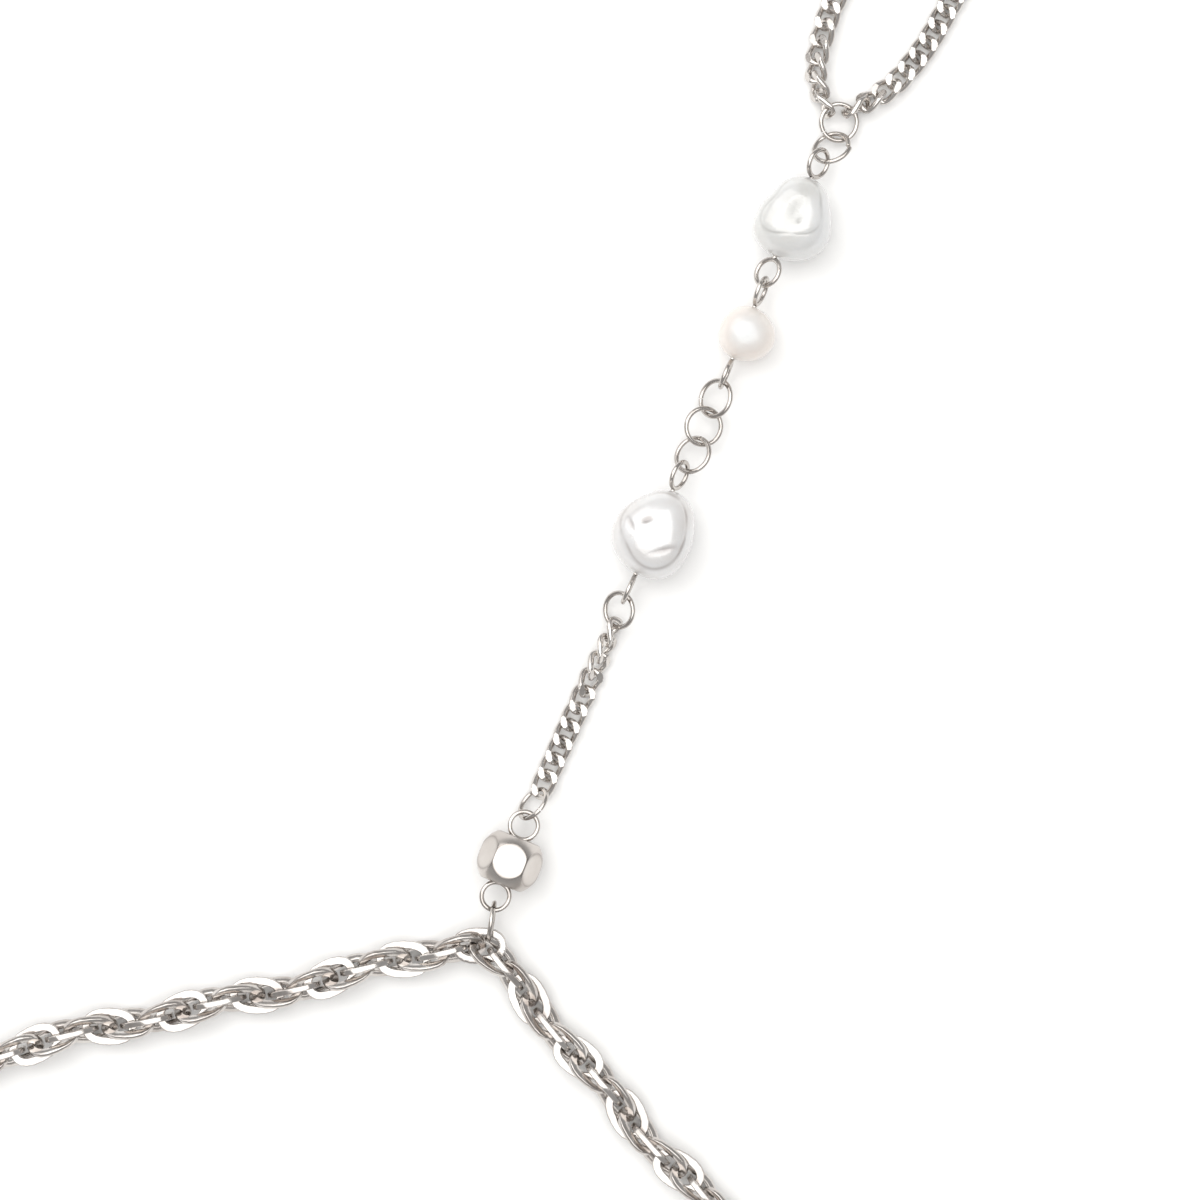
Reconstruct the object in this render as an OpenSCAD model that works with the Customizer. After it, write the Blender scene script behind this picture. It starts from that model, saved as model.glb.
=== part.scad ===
// Hand chain bracelet, lying flat: a rope chain for the wrist, a strand of pearls, a bead,
// jump rings and curb chain over the back of the hand, and a curb chain loop for the finger.
// X runs to the right and Y up the hand, Z up from the surface that it lies on.
// The origin is the middle of the whole footprint, on that surface.

/* [Wire] */
// Wire diameter of the jump rings and the eye pins
wire_d = 0.5; // [0.4:0.05:0.55]
// Play left where two rings or eyes pull on each other
play = 0.15; // [0.1:0.05:0.25]

/* [Jump rings] */
// Outer diameter of the rings between the pearls
ring_d = 4.3; // [4.1:0.1:4.8]
// Outer diameter of the two rings at the ends of the strand chain
small_ring_d = 4.1; // [3.9:0.1:4.6]
// Width of the slit where a jump ring closes
slit_w = 0.1; // [0.05:0.05:0.2]

/* [Eye pins] */
// Outer diameter of the eyes
eye_d = 3.4; // [3.3:0.1:3.8]
// Bare wire between a pearl and its eye
neck = 0.1; // [0.1:0.1:0.8]
// Gap all round between a pin and the hole it runs through
bore_gap = 0.12; // [0.1:0.02:0.2]

/* [Upper pearl] */
// Length along its pin
upper_pearl_len = 8.8; // [7.5:0.1:10]
// Width across its pin
upper_pearl_w = 7.9; // [7:0.1:9.5]
// Thickness from the surface up
upper_pearl_t = 7; // [6.5:0.1:8.5]

/* [Lower pearl] */
// Length along its pin
lower_pearl_len = 9.3; // [8:0.1:10]
// Width across its pin
lower_pearl_w = 8.3; // [7:0.1:9.5]
// Thickness from the surface up
lower_pearl_t = 7; // [6.5:0.1:8.5]

/* [Small pearl] */
// Length along its pin
small_pearl_len = 5.7; // [5:0.1:7]
// Width across its pin
small_pearl_w = 5.8; // [5:0.1:7]
// Thickness from the surface up
small_pearl_t = 5.4; // [5:0.1:6.5]

/* [Metal bead] */
// Diameter of the ball that the bead is cut from
bead_d = 6.8; // [6.4:0.1:7.2]
// Width across two opposite flats of its six round facets
bead_flats = 5.8; // [5.4:0.1:6]
// Length along its pin
bead_len = 5.2; // [4.8:0.1:5.6]
// Depth of the dish at each end that the eye sinks into
dish_depth = 0.5; // [0.3:0.1:0.8]
// Diameter of that dish
dish_d = 3; // [2.8:0.1:3.2]

/* [Rope chain] */
// Outer length of a link
rope_link_len = 5.65; // [5.5:0.05:6]
// Outer width of a link
rope_link_w = 3.8; // [3.7:0.05:4]
// Width of the flat wire, in the plane of the link
rope_bar_w = 0.62; // [0.56:0.02:0.66]
// Thickness of the flat wire
rope_bar_t = 0.5; // [0.4:0.05:0.55]

/* [Curb chain] */
// Outer length of a link
curb_link_len = 3.3; // [3.2:0.05:3.5]
// Outer width of a link
curb_link_w = 2.5; // [2.4:0.05:2.7]
// Wire diameter
curb_wire_d = 0.56; // [0.5:0.02:0.6]
// Thickness of a link over its cut flats
curb_flat_t = 1.3; // [1.2:0.05:1.4]
// Length of the strand chain, from its first link's middle to its last link's
strand_chain_len = 17.3; // [15:0.5:20]

/* [Clasp] */
// Length of the clasp
clasp_len = 12.5; // [10:0.5:14]
// Width of its hook
clasp_w = 6; // [5.4:0.2:7]
// Thickness
clasp_t = 1.2; // [1:0.1:1.4]
// Outer diameter of the rings at both ends of the clasp
clasp_ring_d = 5; // [4.8:0.1:5.4]
// Wire diameter of those rings
clasp_wire_d = 0.6; // [0.5:0.05:0.65]

/* [Hidden] */
$fn = 48;
tiny = 0.01;

// The wrist chain's way round, from the corner where the two strands meet, along the right
// strand and back by the left, as X and Y from that corner
wrist_route = [
    [0, 0], [1.95, -2.28], [3.9, -4.56], [6.5, -7.6], [9.75, -11.4], [14, -16.5], [18.8, -22],
    [23.6, -26.6], [26.8, -31.4], [27.7, -36.9], [26, -42.3], [22.2, -46.5], [17, -48.8],
    [12.2, -48.8], [5, -47.2], [-10, -44.5], [-25, -41.7], [-40, -38.9], [-50.2, -37],
    [-55.4, -35], [-59.2, -30.8], [-61, -25.3], [-60.2, -19.7], [-56.9, -15], [-51.8, -12.2],
    [-45.5, -10.6], [-37, -8.6], [-30, -7.1], [-24, -6], [-16, -4], [-10, -2.5], [-6, -1.5], [-3, -0.75]];
// The finger chain's way round, from the left of the high finger ring to its right,
// as X and Y from that ring's middle
finger_route = [
    [-1.5, 2], [-2.3, 3.8], [-2.4, 5.7], [-2.1, 7.7], [-1.5, 9.6], [-0.9, 12], [0.3, 14.2],
    [2, 17.5], [4.6, 21.5], [8.4, 24.4], [12.2, 24.8], [14.9, 22.4], [14.9, 18.6], [13.6, 15.6],
    [12.2, 13.6], [10.8, 11], [9.3, 8.3], [7.6, 6], [5.7, 3.8], [3.6, 2.5], [1.8, 1.5]];

// Rolls and leans of the rope links, and how square their ovals are
rope_roll = -45;
rope_lean = 13;
rope_set = 0.22;
rope_square = 2.35;
rope_sides = 12;
// Twist of a curb link, how square its oval is, and its sides
curb_square = 2.3;
curb_sides = 10;
curb_wire_sides = 5;
// Slack between one curb link and the next, and play of the clasp in its rings
curb_slack = 0.28;
clasp_play = 0.48;
clasp_link_play = 0.62;
clasp_ring_roll = 55;

ring_r = (ring_d - wire_d) / 2;
small_ring_r = (small_ring_d - wire_d) / 2;
clasp_ring_r = (clasp_ring_d - clasp_wire_d) / 2;
eye_r = (eye_d - wire_d) / 2;
rope_reach = (rope_link_len - rope_bar_w) / 2;
curb_reach = (curb_link_len - curb_wire_d) / 2;
curb_side = (curb_link_w - curb_wire_d) / 2;
// From one link to the next: a rope link holds the two before it end to end, a curb link one
rope_pitch = (rope_link_len - 2 * rope_bar_w - rope_bar_t) / 2;
curb_pitch = curb_link_len - 2 * curb_wire_d - curb_slack;
bore_d = wire_d + 2 * bore_gap;

// Middle to middle of two linked pieces with these wire radii, pulled straight
function hook(a, b) = a + b - wire_d - play;
// Middle to middle of the two eyes of a pin that carries a piece this long
function pin_span(len) = len + 2 * neck + eye_d;

// Heights of the pins above the surface. The bead tips on the edge of its round facet, and
// each of its eyes stands this much above or below its middle
bead_tip = 0.27;
bead_lean = atan2(2 * bead_tip, pin_span(bead_len) - 2 * dish_depth);
bead_pin_z = cos(bead_lean) * bead_flats / 2
    + sin(bead_lean) * sqrt(bead_d * bead_d - bead_flats * bead_flats) / 2;
lower_pin_z = 0.42 * lower_pearl_t;
small_pin_z = 0.48 * small_pearl_t;
upper_pin_z = 0.42 * upper_pearl_t;

// The strand from the wrist up to the finger, one row for each ring, eye or end link:
// radius, span to the next row, heading of that span, then how the piece itself lies:
// its own heading, pitch and roll, and its height. The height is the gap under a ring,
// and the middle of an eye or end link.
RADIUS = 0;
SPAN = 1;
WAY = 2;
TURN = 3;
PITCH = 4;
ROLL = 5;
HIGH = 6;
BEAD_RING_LOW = 0;
BEAD_PIN = 1;
BEAD_RING_HIGH = 3;
STRAND_CHAIN = 4;
STRAND_RING = 6;
LOWER_PIN = 7;
LINK_RING_A = 9;
LINK_RING_B = 10;
LINK_RING_C = 11;
SMALL_PIN = 12;
UPPER_PIN = 14;
FINGER_RING_LOW = 16;
FINGER_RING_HIGH = 17;
STRAND = [
    [ring_r, hook(ring_r, eye_r) - 0.07, 81.5, 82, 2.4, 89, 0.9],
    [eye_r, pin_span(bead_len) - 2 * dish_depth, 68, 68, 0, 11, bead_pin_z + bead_tip],
    [eye_r, hook(eye_r, small_ring_r) - 0.18, 67, 68, 0, 0, bead_pin_z - bead_tip],
    [small_ring_r, hook(small_ring_r, curb_reach) - 0.29, 61.5, 54, -11, 120, 0.2],
    [curb_reach, strand_chain_len, 66, 68.6, -8, 8, 0.93],
    [curb_reach, hook(curb_reach, small_ring_r) - 0.11, 71, 66, 0, 80, 0],
    [small_ring_r, hook(small_ring_r, eye_r) - 0.23, 65, 56, 25, -29, 0.56],
    [eye_r, pin_span(lower_pearl_len), 66, 66, 0, 88, lower_pin_z],
    [eye_r, hook(eye_r, ring_r) - 0.15, 57, 66, 0, 62, lower_pin_z],
    [ring_r, hook(ring_r, ring_r), 69, 80, -18, -32, 0.9],
    [ring_r, hook(ring_r, ring_r), 67, 75, 2, 19, 1.15],
    [ring_r, hook(ring_r, eye_r), 67, 68, 6, -39, 0.8],
    [eye_r, pin_span(small_pearl_len), 67, 67, 0, 85, small_pin_z],
    [eye_r, hook(eye_r, eye_r) - 0.2, 70.9, 67, 0, 75, small_pin_z],
    [eye_r, pin_span(upper_pearl_len), 65, 65, 0, -42, upper_pin_z],
    [eye_r, hook(eye_r, ring_r) - 0.375, 51.5, 65, 0, 50, upper_pin_z],
    [ring_r, hook(ring_r, ring_r) - 0.35, 73.4, 68.5, -27.5, -31.3, 0.33],
    [ring_r, 0, 0, 62, 0, 10, 0.58]];
// Where the first ring of the strand stands, from the corner of the wrist chain
start = [1.36, 2.12];

function span_vec(i) = STRAND[i][SPAN] * [cos(STRAND[i][WAY]), sin(STRAND[i][WAY])];
function joint(i) = i == 0 ? start : joint(i - 1) + span_vec(i - 1);
// How far a leaning ring reaches below its own middle
function ring_drop(row) = row[RADIUS] * sqrt(1 - pow(cos(row[PITCH]) * cos(row[ROLL]), 2))
    + wire_d / 2;

// A smooth curve led by hand-chosen points, as rows of length so far, X and Y
CURVE_STEPS = 8;
function bend(a, b, c, d, t) = (pow(1 - t, 3) * a + (3 * t * t * t - 6 * t * t + 4) * b
    + (-3 * t * t * t + 3 * t * t + 3 * t + 1) * c + t * t * t * d) / 6;
function round_curve(p) = let (n = len(p)) [
    for (i = [0 : n - 1], j = [0 : CURVE_STEPS - 1])
        bend(p[(i + n - 1) % n], p[i], p[(i + 1) % n], p[(i + 2) % n], j / CURVE_STEPS),
    bend(p[n - 1], p[0], p[1], p[2], 0)];
function open_curve(p) = let (
    n = len(p),
    q = concat([2 * p[0] - p[1]], p, [2 * p[n - 1] - p[n - 2]]))
    [for (i = [0 : n - 2], j = [0 : CURVE_STEPS - 1])
        bend(q[i], q[i + 1], q[i + 2], q[i + 3], j / CURVE_STEPS),
    p[n - 1]];
function measured(q) = [
    for (i = 0, s = 0; i < len(q); s = s + norm(q[min(i + 1, len(q) - 1)] - q[i]), i = i + 1)
        [s, q[i].x, q[i].y]];
function along(way, s) = [
    lookup(s, [for (row = way) [row[0], row[1]]]),
    lookup(s, [for (row = way) [row[0], row[2]]])];
function way_len(way) = way[len(way) - 1][0];

// A point of a piece laid at o, headed h, its front tipped up, rolled about its own length
function laid(v, o, h, tip, roll) = let (
    y = v.y * cos(roll) - v.z * sin(roll),
    z = v.y * sin(roll) + v.z * cos(roll),
    x = v.x * cos(tip) - z * sin(tip))
    o + [x * cos(h) - y * sin(h), x * sin(h) + y * cos(h), v.x * sin(tip) + z * cos(tip)];
function signed_pow(x, e) = sign(x) * pow(abs(x), e);
// An oval of this length and width at angle t, a plain ellipse where square is 2
function oval(t, len, wid, square) = [
    len / 2 * signed_pow(cos(t), 2 / square), wid / 2 * signed_pow(sin(t), 2 / square)];

// Faces of closed rings, each of n sections of m points
function ring_faces(rings, n, m) = [
    for (k = [0 : rings - 1], i = [0 : n - 1], c = [0 : m - 1])
        let (
            a = (k * n + i) * m + c,
            b = (k * n + i) * m + (c + 1) % m,
            d = (k * n + (i + 1) % n) * m + c,
            e = (k * n + (i + 1) % n) * m + (c + 1) % m)
        each [[a, b, e], [a, e, d]]];

// One flat-wire rope link about its own middle: four corners at each of its sides
function rope_corners(t) = [
    for (corner = [[1, 1], [-1, 1], [-1, -1], [1, -1]])
        let (
            grow = (corner[0] - 1) * rope_bar_w,
            p = oval(t, rope_link_len + grow, rope_link_w + grow, rope_square))
        [
            p.x * cos(rope_lean) - p.y * sin(rope_lean),
            p.x * sin(rope_lean) + p.y * cos(rope_lean),
            rope_set + corner[1] * rope_bar_t / 2]];
rope_link = [for (i = [0 : rope_sides - 1]) each rope_corners(i * 360 / rope_sides)];

// One curb link about its own middle: round wire on a twisted oval, cut flat above and below
curb_twist = (curb_flat_t - curb_wire_d) / 2 + 0.1;
function curb_mid(t) = let (p = oval(t, 2 * curb_reach, 2 * curb_side, curb_square))
    [p.x, p.y, -curb_twist * sin(2 * t)];
function unit(v) = v / norm(v);
function curb_section(t) = let (
    ahead = unit(curb_mid(t + 2) - curb_mid(t - 2)),
    out = unit(cross(ahead, [0, 0, 1])),
    up = cross(out, ahead))
    [for (c = [0 : curb_wire_sides - 1])
        let (
            a = c * 360 / curb_wire_sides,
            p = curb_mid(t) + curb_wire_d / 2 * (cos(a) * out + sin(a) * up))
        [p.x, p.y, max(-curb_flat_t / 2, min(curb_flat_t / 2, p.z))]];
curb_link = [for (i = [0 : curb_sides - 1]) each curb_section((i + 0.5) * 360 / curb_sides)];
// How far a curb link reaches below its middle when rolled
function curb_drop(roll) = max([for (p = curb_link) p.y * sin(roll) + p.z * cos(roll)]);

clasp_hook_r = clasp_w / 2;
clasp_window_r = clasp_hook_r - 0.8;
clasp_hole_r = 1.4;
clasp_tail_r = clasp_hole_r + 0.8;
clasp_tail_x = clasp_len - clasp_hook_r - clasp_tail_r;
clasp_hook_ring_x = clasp_window_r - clasp_play - clasp_wire_d / 2 + clasp_ring_r;
clasp_tail_ring_x = clasp_hole_r - clasp_play - clasp_wire_d / 2 + clasp_ring_r;
clasp_link_hook = rope_reach + clasp_ring_r - (rope_bar_w + clasp_wire_d) / 2 - clasp_link_play;
clasp_span = 2 * clasp_link_hook + clasp_hook_ring_x + clasp_tail_x + clasp_tail_ring_x;
// Wrist chain: its way round is as long as the links, the clasp and the clasp rings make it
RIGHT_LINKS = 48;
LEFT_LINKS = 52;
wrist_len = (RIGHT_LINKS + LEFT_LINKS) * rope_pitch + clasp_span;
drawn_len = way_len(measured(round_curve(wrist_route)));
wrist_way = measured(round_curve(wrist_route) * wrist_len / drawn_len);
function wrist_at(s) = along(wrist_way, s < 0 ? s + wrist_len : s);
HEADING_REACH = 1.2;
function wrist_heading(s) = let (v = wrist_at(s + HEADING_REACH) - wrist_at(s - HEADING_REACH))
    atan2(v.y, v.x);
rope_high = max([for (k = [0 : 7], p = rope_link) -laid(p, [0, 0, 0], 0, 0, k * rope_roll).z]);
// How the links beside the corner settle off their even places, a row from 2 links left of it
// to 2 right of it: X, Y and Z in shares of the link pitch, then heading, tip and roll
CORNER = [
    [0.025, 0.006, 0.008, 0.5, -0.3, 0.3],
    [0.03, -0.033, 0.008, -2.8, -0.2, 2.4],
    [0.122, 0.032, 0.135, 5.8, 3.7, 9.9],
    [-0.043, 0.005, -0.031, 1.1, 3.3, 0.1],
    [-0.031, 0.052, 0.025, -0.9, -0.8, 0]];
function settled(k) = abs(k) > 2 ? [0, 0, 0, 0, 0, 0] : CORNER[k + 2];
function rope_points(k) = let (
    s = k * rope_pitch,
    at = wrist_at(s),
    off = settled(k))
    [for (p = rope_link)
        laid(p, [at.x, at.y, rope_high] + rope_pitch * [off[0], off[1], off[2]],
            wrist_heading(s) + off[3], off[4], k * rope_roll + off[5])];
wrist_points = [for (k = [-LEFT_LINKS : RIGHT_LINKS]) each rope_points(k)];

// Curb chains: the links share the length of their way and turn with the rolls given along it
function curb_count(length) = round(length / curb_pitch);
function curb_points(o, h, roll) =
    [for (p = curb_link) laid(p, [o.x, o.y, curb_drop(roll)], h, 0, roll)];
FINGER_ROLLS = [[0, -92], [2, -62], [5, -42], [9, -15], [12, 0], [51, 0], [54, 15], [56.5, 45], [58.4, 92]];
STRAND_ROLLS = [[0, 3], [8, 3], [12, 35], [17.3, 80]];
finger_way = measured(open_curve(finger_route));
finger_links = curb_count(way_len(finger_way));
finger_points = [
    for (k = [0 : finger_links])
        let (
            s = k * way_len(finger_way) / finger_links,
            v = along(finger_way, s + 0.5) - along(finger_way, s - 0.5))
        each curb_points(joint(FINGER_RING_HIGH) + along(finger_way, s), atan2(v.y, v.x),
            lookup(s, FINGER_ROLLS))];
strand_links = curb_count(strand_chain_len);
// The ring below holds the strand chain's first link up, so that it lies as its row says
strand_first = STRAND[STRAND_CHAIN];
strand_points = [
    for (p = curb_link)
        laid(p, concat(joint(STRAND_CHAIN), strand_first[HIGH]), strand_first[TURN],
            strand_first[PITCH], strand_first[ROLL]),
    for (k = [1 : strand_links])
        let (s = k * strand_chain_len / strand_links)
        each curb_points(joint(STRAND_CHAIN) + s / strand_chain_len * span_vec(STRAND_CHAIN),
            strand_first[WAY], lookup(s, STRAND_ROLLS))];

// The middle of the footprint, which the finger loop and the wrist loop span
reach = concat(wrist_points, finger_points);
low_x = min([for (p = reach) p.x]);
high_x = max([for (p = reach) p.x]);
low_y = min([for (p = reach) p.y]);
high_y = max([for (p = reach) p.y]);
centre = [(low_x + high_x) / 2, (low_y + high_y) / 2, 0];

steel = [0.78, 0.77, 0.75];
pearl_white = [0.95, 0.95, 0.94];
pearl_cream = [0.96, 0.93, 0.88];

// A round ring of wire, slit at this angle from its own X
module wire_ring(r, d, slit_at) {
    slit = slit_w / r * 180 / PI;
    rotate([0, 0, slit_at + slit / 2])
        rotate_extrude(angle = 360 - slit)
            translate([r, 0])
                circle(d = d);
}

// A jump ring of the strand, by its row
module strand_jump_ring(i, slit_at) {
    row = STRAND[i];
    at = joint(i);
    color(steel)
        translate(-centre)
            translate([at.x, at.y, row[HIGH] + ring_drop(row)])
                rotate([0, 0, row[TURN]])
                    rotate([0, -row[PITCH], 0])
                        rotate([row[ROLL], 0, 0])
                            wire_ring(row[RADIUS], wire_d, slit_at);
}

// Lays a child on the pin between row i and the next, with its own X along the pin
module on_pin(i) {
    from = joint(i);
    rise = STRAND[i + 1][HIGH] - STRAND[i][HIGH];
    translate(-centre)
        translate([from.x, from.y, STRAND[i][HIGH]])
            rotate([0, 0, STRAND[i][WAY]])
                rotate([0, -atan2(rise, STRAND[i][SPAN]), 0])
                    children();
}
function pin_len(i) = norm([STRAND[i][SPAN], STRAND[i + 1][HIGH] - STRAND[i][HIGH]]);

module eye_ring(roll) {
    rotate([roll, 0, 0])
        rotate_extrude()
            translate([eye_r, 0])
                circle(d = wire_d);
}

module eye_pin(i) {
    color(steel)
        on_pin(i)
            union() {
                eye_ring(STRAND[i][ROLL]);
                translate([eye_r, 0, 0])
                    rotate([0, 90, 0])
                        cylinder(d = wire_d, h = pin_len(i) - 2 * eye_r);
                translate([pin_len(i), 0, 0])
                    eye_ring(STRAND[i + 1][ROLL]);
            }
}

// A pearl's surface about its own middle: an oval that three soft corners and one long side
// push out of round, squeezed towards its top and underside
PEARL_ROUND = 22;
PEARL_TALL = 12;
function pearl_rim(turn, corner, corner_at, long, long_at) =
    (1 + corner * cos(3 * (turn - corner_at)) + long * cos(2 * (turn - long_at)))
        * [cos(turn), sin(turn)];
function pearl_points(len, wid, thick, corner, corner_at, long, long_at) = let (
    rim = [for (i = [0 : PEARL_ROUND - 1])
        pearl_rim(i * 360 / PEARL_ROUND, corner, corner_at, long, long_at)],
    low = [min([for (p = rim) p.x]), min([for (p = rim) p.y])],
    high = [max([for (p = rim) p.x]), max([for (p = rim) p.y])])
    [
        [0, 0, -thick / 2],
        for (j = [1 : PEARL_TALL - 1], i = [0 : PEARL_ROUND - 1])
            let (
                lift = -90 + j * 180 / PEARL_TALL,
                level = pow(cos(lift), 0.9),
                mid = (low + high) / 2,
                p = (rim[i] - mid) * level)
            [
                p.x * len / (high.x - low.x),
                p.y * wid / (high.y - low.y),
                thick / 2 * signed_pow(sin(lift), 0.9)],
        [0, 0, thick / 2]];
function pearl_faces() = let (n = PEARL_ROUND, top = (PEARL_TALL - 1) * n + 1) [
    for (i = [0 : n - 1]) let (k = (i + 1) % n) each [
        [0, 1 + i, 1 + k],
        [top, top - n + k, top - n + i],
        for (j = [0 : PEARL_TALL - 3]) let (a = 1 + j * n) each [
            [a + i, a + n + i, a + n + k],
            [a + i, a + n + k, a + k]]]];

// A pearl on its pin, bored through for it. shift moves the pearl sideways off its hole
module pearl(i, len, wid, thick, corner, corner_at, long, long_at, shift) {
    on_pin(i)
        difference() {
            translate([pin_len(i) / 2, shift, thick / 2 - STRAND[i][HIGH]])
                polyhedron(pearl_points(len, wid, thick, corner, corner_at, long, long_at),
                    pearl_faces());
            rotate([0, 90, 0])
                cylinder(d = bore_d, h = pin_len(i));
        }
}

module wrist_chain() {
    links = LEFT_LINKS + RIGHT_LINKS + 1;
    color(steel)
        translate(-centre)
            polyhedron(wrist_points, ring_faces(links, rope_sides, 4));
}

// Lays a child at the middle of the clasp, headed towards its hook
right_end = wrist_at(RIGHT_LINKS * rope_pitch);
left_end = wrist_at(-LEFT_LINKS * rope_pitch);
clasp_h = atan2(right_end.y - left_end.y, right_end.x - left_end.x);
clasp_z = clasp_ring_r * sin(clasp_ring_roll) + clasp_wire_d / 2;
module at_clasp() {
    hook_ring = right_end - (clasp_link_hook + clasp_hook_ring_x) * [cos(clasp_h), sin(clasp_h)];
    translate(-centre)
        translate([hook_ring.x, hook_ring.y, clasp_z])
            rotate([0, 0, clasp_h])
                children();
}

module clasp() {
    color(steel)
        at_clasp()
            translate([0, 0, -clasp_t / 2])
                linear_extrude(clasp_t)
                    difference() {
                        union() {
                            circle(clasp_hook_r);
                            translate([-clasp_tail_x, 0])
                                circle(clasp_tail_r);
                            polygon([
                                [0, clasp_hook_r * 0.9], [-clasp_tail_x, clasp_tail_r * 0.8],
                                [-clasp_tail_x, -clasp_tail_r * 0.8], [0, -clasp_hook_r * 0.9]]);
                        }
                        circle(clasp_window_r);
                        translate([-clasp_tail_x, 0])
                            circle(clasp_hole_r);
                    }
}

module clasp_ring(x) {
    color(steel)
        at_clasp()
            translate([x, 0, 0])
                rotate([clasp_ring_roll, 0, 0])
                    wire_ring(clasp_ring_r, clasp_wire_d, 60);
}
module clasp_ring_left() {
    clasp_ring(-clasp_tail_x - clasp_tail_ring_x);
}
module clasp_ring_right() {
    clasp_ring(clasp_hook_ring_x);
}

module bead_ring_low() {
    strand_jump_ring(BEAD_RING_LOW, 40);
}

module metal_bead() {
    color(steel)
        on_pin(BEAD_PIN)
            translate([pin_len(BEAD_PIN) / 2, 0, 0])
                intersection() {
                    rotate([0, 90, 0])
                        rotate_extrude()
                            difference() {
                                intersection() {
                                    circle(d = bead_d);
                                    translate([bore_d / 2, -bead_len / 2])
                                        square([bead_d, bead_len]);
                                }
                                for (end = [-1, 1])
                                    translate([0, end * bead_len / 2 - dish_depth])
                                        square([dish_d / 2, 2 * dish_depth]);
                            }
                    rotate([30, 0, 0])
                        rotate([0, 90, 0])
                            cylinder(d = bead_flats / cos(30), h = 2 * bead_len, center = true,
                                $fn = 6);
                }
}

module bead_pin() {
    eye_pin(BEAD_PIN);
}

module bead_ring_high() {
    strand_jump_ring(BEAD_RING_HIGH, 100);
}

module strand_chain() {
    color(steel)
        translate(-centre)
            polyhedron(strand_points, ring_faces(strand_links + 1, curb_sides, curb_wire_sides));
}

module strand_ring() {
    strand_jump_ring(STRAND_RING, 80);
}

module lower_pearl() {
    color(pearl_white)
        pearl(LOWER_PIN, lower_pearl_len, lower_pearl_w, lower_pearl_t, 0.05, -15, 0.015, -20, 0.05);
}

module lower_pearl_pin() {
    eye_pin(LOWER_PIN);
}

module link_ring_a() {
    strand_jump_ring(LINK_RING_A, -20);
}

module link_ring_b() {
    strand_jump_ring(LINK_RING_B, 200);
}

module link_ring_c() {
    strand_jump_ring(LINK_RING_C, 110);
}

module small_pearl() {
    color(pearl_cream)
        pearl(SMALL_PIN, small_pearl_len, small_pearl_w, small_pearl_t, 0.02, 30, 0.01, 0, -0.4);
}

module small_pearl_pin() {
    eye_pin(SMALL_PIN);
}

module upper_pearl() {
    color(pearl_white)
        pearl(UPPER_PIN, upper_pearl_len, upper_pearl_w, upper_pearl_t, 0.06, 6, 0.045, 0, -0.3);
}

module upper_pearl_pin() {
    eye_pin(UPPER_PIN);
}

module finger_ring_low() {
    strand_jump_ring(FINGER_RING_LOW, -30);
}

module finger_ring_high() {
    strand_jump_ring(FINGER_RING_HIGH, 150);
}

module finger_chain() {
    color(steel)
        translate(-centre)
            polyhedron(finger_points, ring_faces(finger_links + 1, curb_sides, curb_wire_sides));
}

wrist_chain();
clasp();
clasp_ring_left();
clasp_ring_right();
bead_ring_low();
metal_bead();
bead_pin();
bead_ring_high();
strand_chain();
strand_ring();
lower_pearl();
lower_pearl_pin();
link_ring_a();
link_ring_b();
link_ring_c();
small_pearl();
small_pearl_pin();
upper_pearl();
upper_pearl_pin();
finger_ring_low();
finger_ring_high();
finger_chain();
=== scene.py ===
"""Hand chain bracelet laid out on a white table, seen from straight above.

A rope chain for the wrist and a curb chain for the finger, joined by a strand of baroque pearls,
wire rings, a faceted bead and a short curb chain, all in polished steel.
"""

import bpy
import numpy as np
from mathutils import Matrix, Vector


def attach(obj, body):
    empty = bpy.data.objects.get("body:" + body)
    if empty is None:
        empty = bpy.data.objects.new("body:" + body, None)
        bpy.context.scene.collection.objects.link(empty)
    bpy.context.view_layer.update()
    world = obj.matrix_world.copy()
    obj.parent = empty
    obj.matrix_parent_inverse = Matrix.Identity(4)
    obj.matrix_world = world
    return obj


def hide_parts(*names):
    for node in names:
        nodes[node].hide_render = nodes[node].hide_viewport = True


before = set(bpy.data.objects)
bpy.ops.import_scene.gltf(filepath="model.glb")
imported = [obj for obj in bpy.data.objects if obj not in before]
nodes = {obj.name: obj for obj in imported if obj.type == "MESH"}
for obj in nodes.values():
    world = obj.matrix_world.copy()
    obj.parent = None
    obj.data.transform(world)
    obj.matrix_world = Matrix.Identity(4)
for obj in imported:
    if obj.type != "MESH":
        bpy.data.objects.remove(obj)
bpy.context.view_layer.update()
MM = 0.001

# Wrist chain: a loose rope chain of flat steel rings, each leaned in its own plane and passed
# through the two before it, an eighth of a turn further round. The wire is rolled and polished,
# with its edges just broken. The ring at the corner of the two halves holds the strand.

SAME_POINT = 1e-6
ROPE_LINK_LONG = 5.72 * MM
ROPE_LINK_WIDE = 3.87 * MM
ROPE_BAR_WIDE = 0.84 * MM
ROPE_BAR_THICK = 0.6 * MM
ROPE_SQUARE = 2.35
ROPE_EDGE = 0.1 * MM
ROPE_CROWN = 0.16
ROPE_STATIONS = 20


def corner_points(node):
    """A CAD node's own corner points, each once, and its triangles as numbers of those points.

    Corners closer than a micrometre are one point."""
    mesh = node.data
    points = np.empty(3 * len(mesh.vertices))
    mesh.vertices.foreach_get("co", points)
    corners = np.empty(len(mesh.loops), int)
    mesh.loops.foreach_get("vertex_index", corners)
    points = points.reshape(-1, 3)
    _, first, same = np.unique(
        np.round(points / SAME_POINT), axis=0, return_index=True, return_inverse=True)
    return points[first], same.ravel()[corners].reshape(-1, 3)


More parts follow.
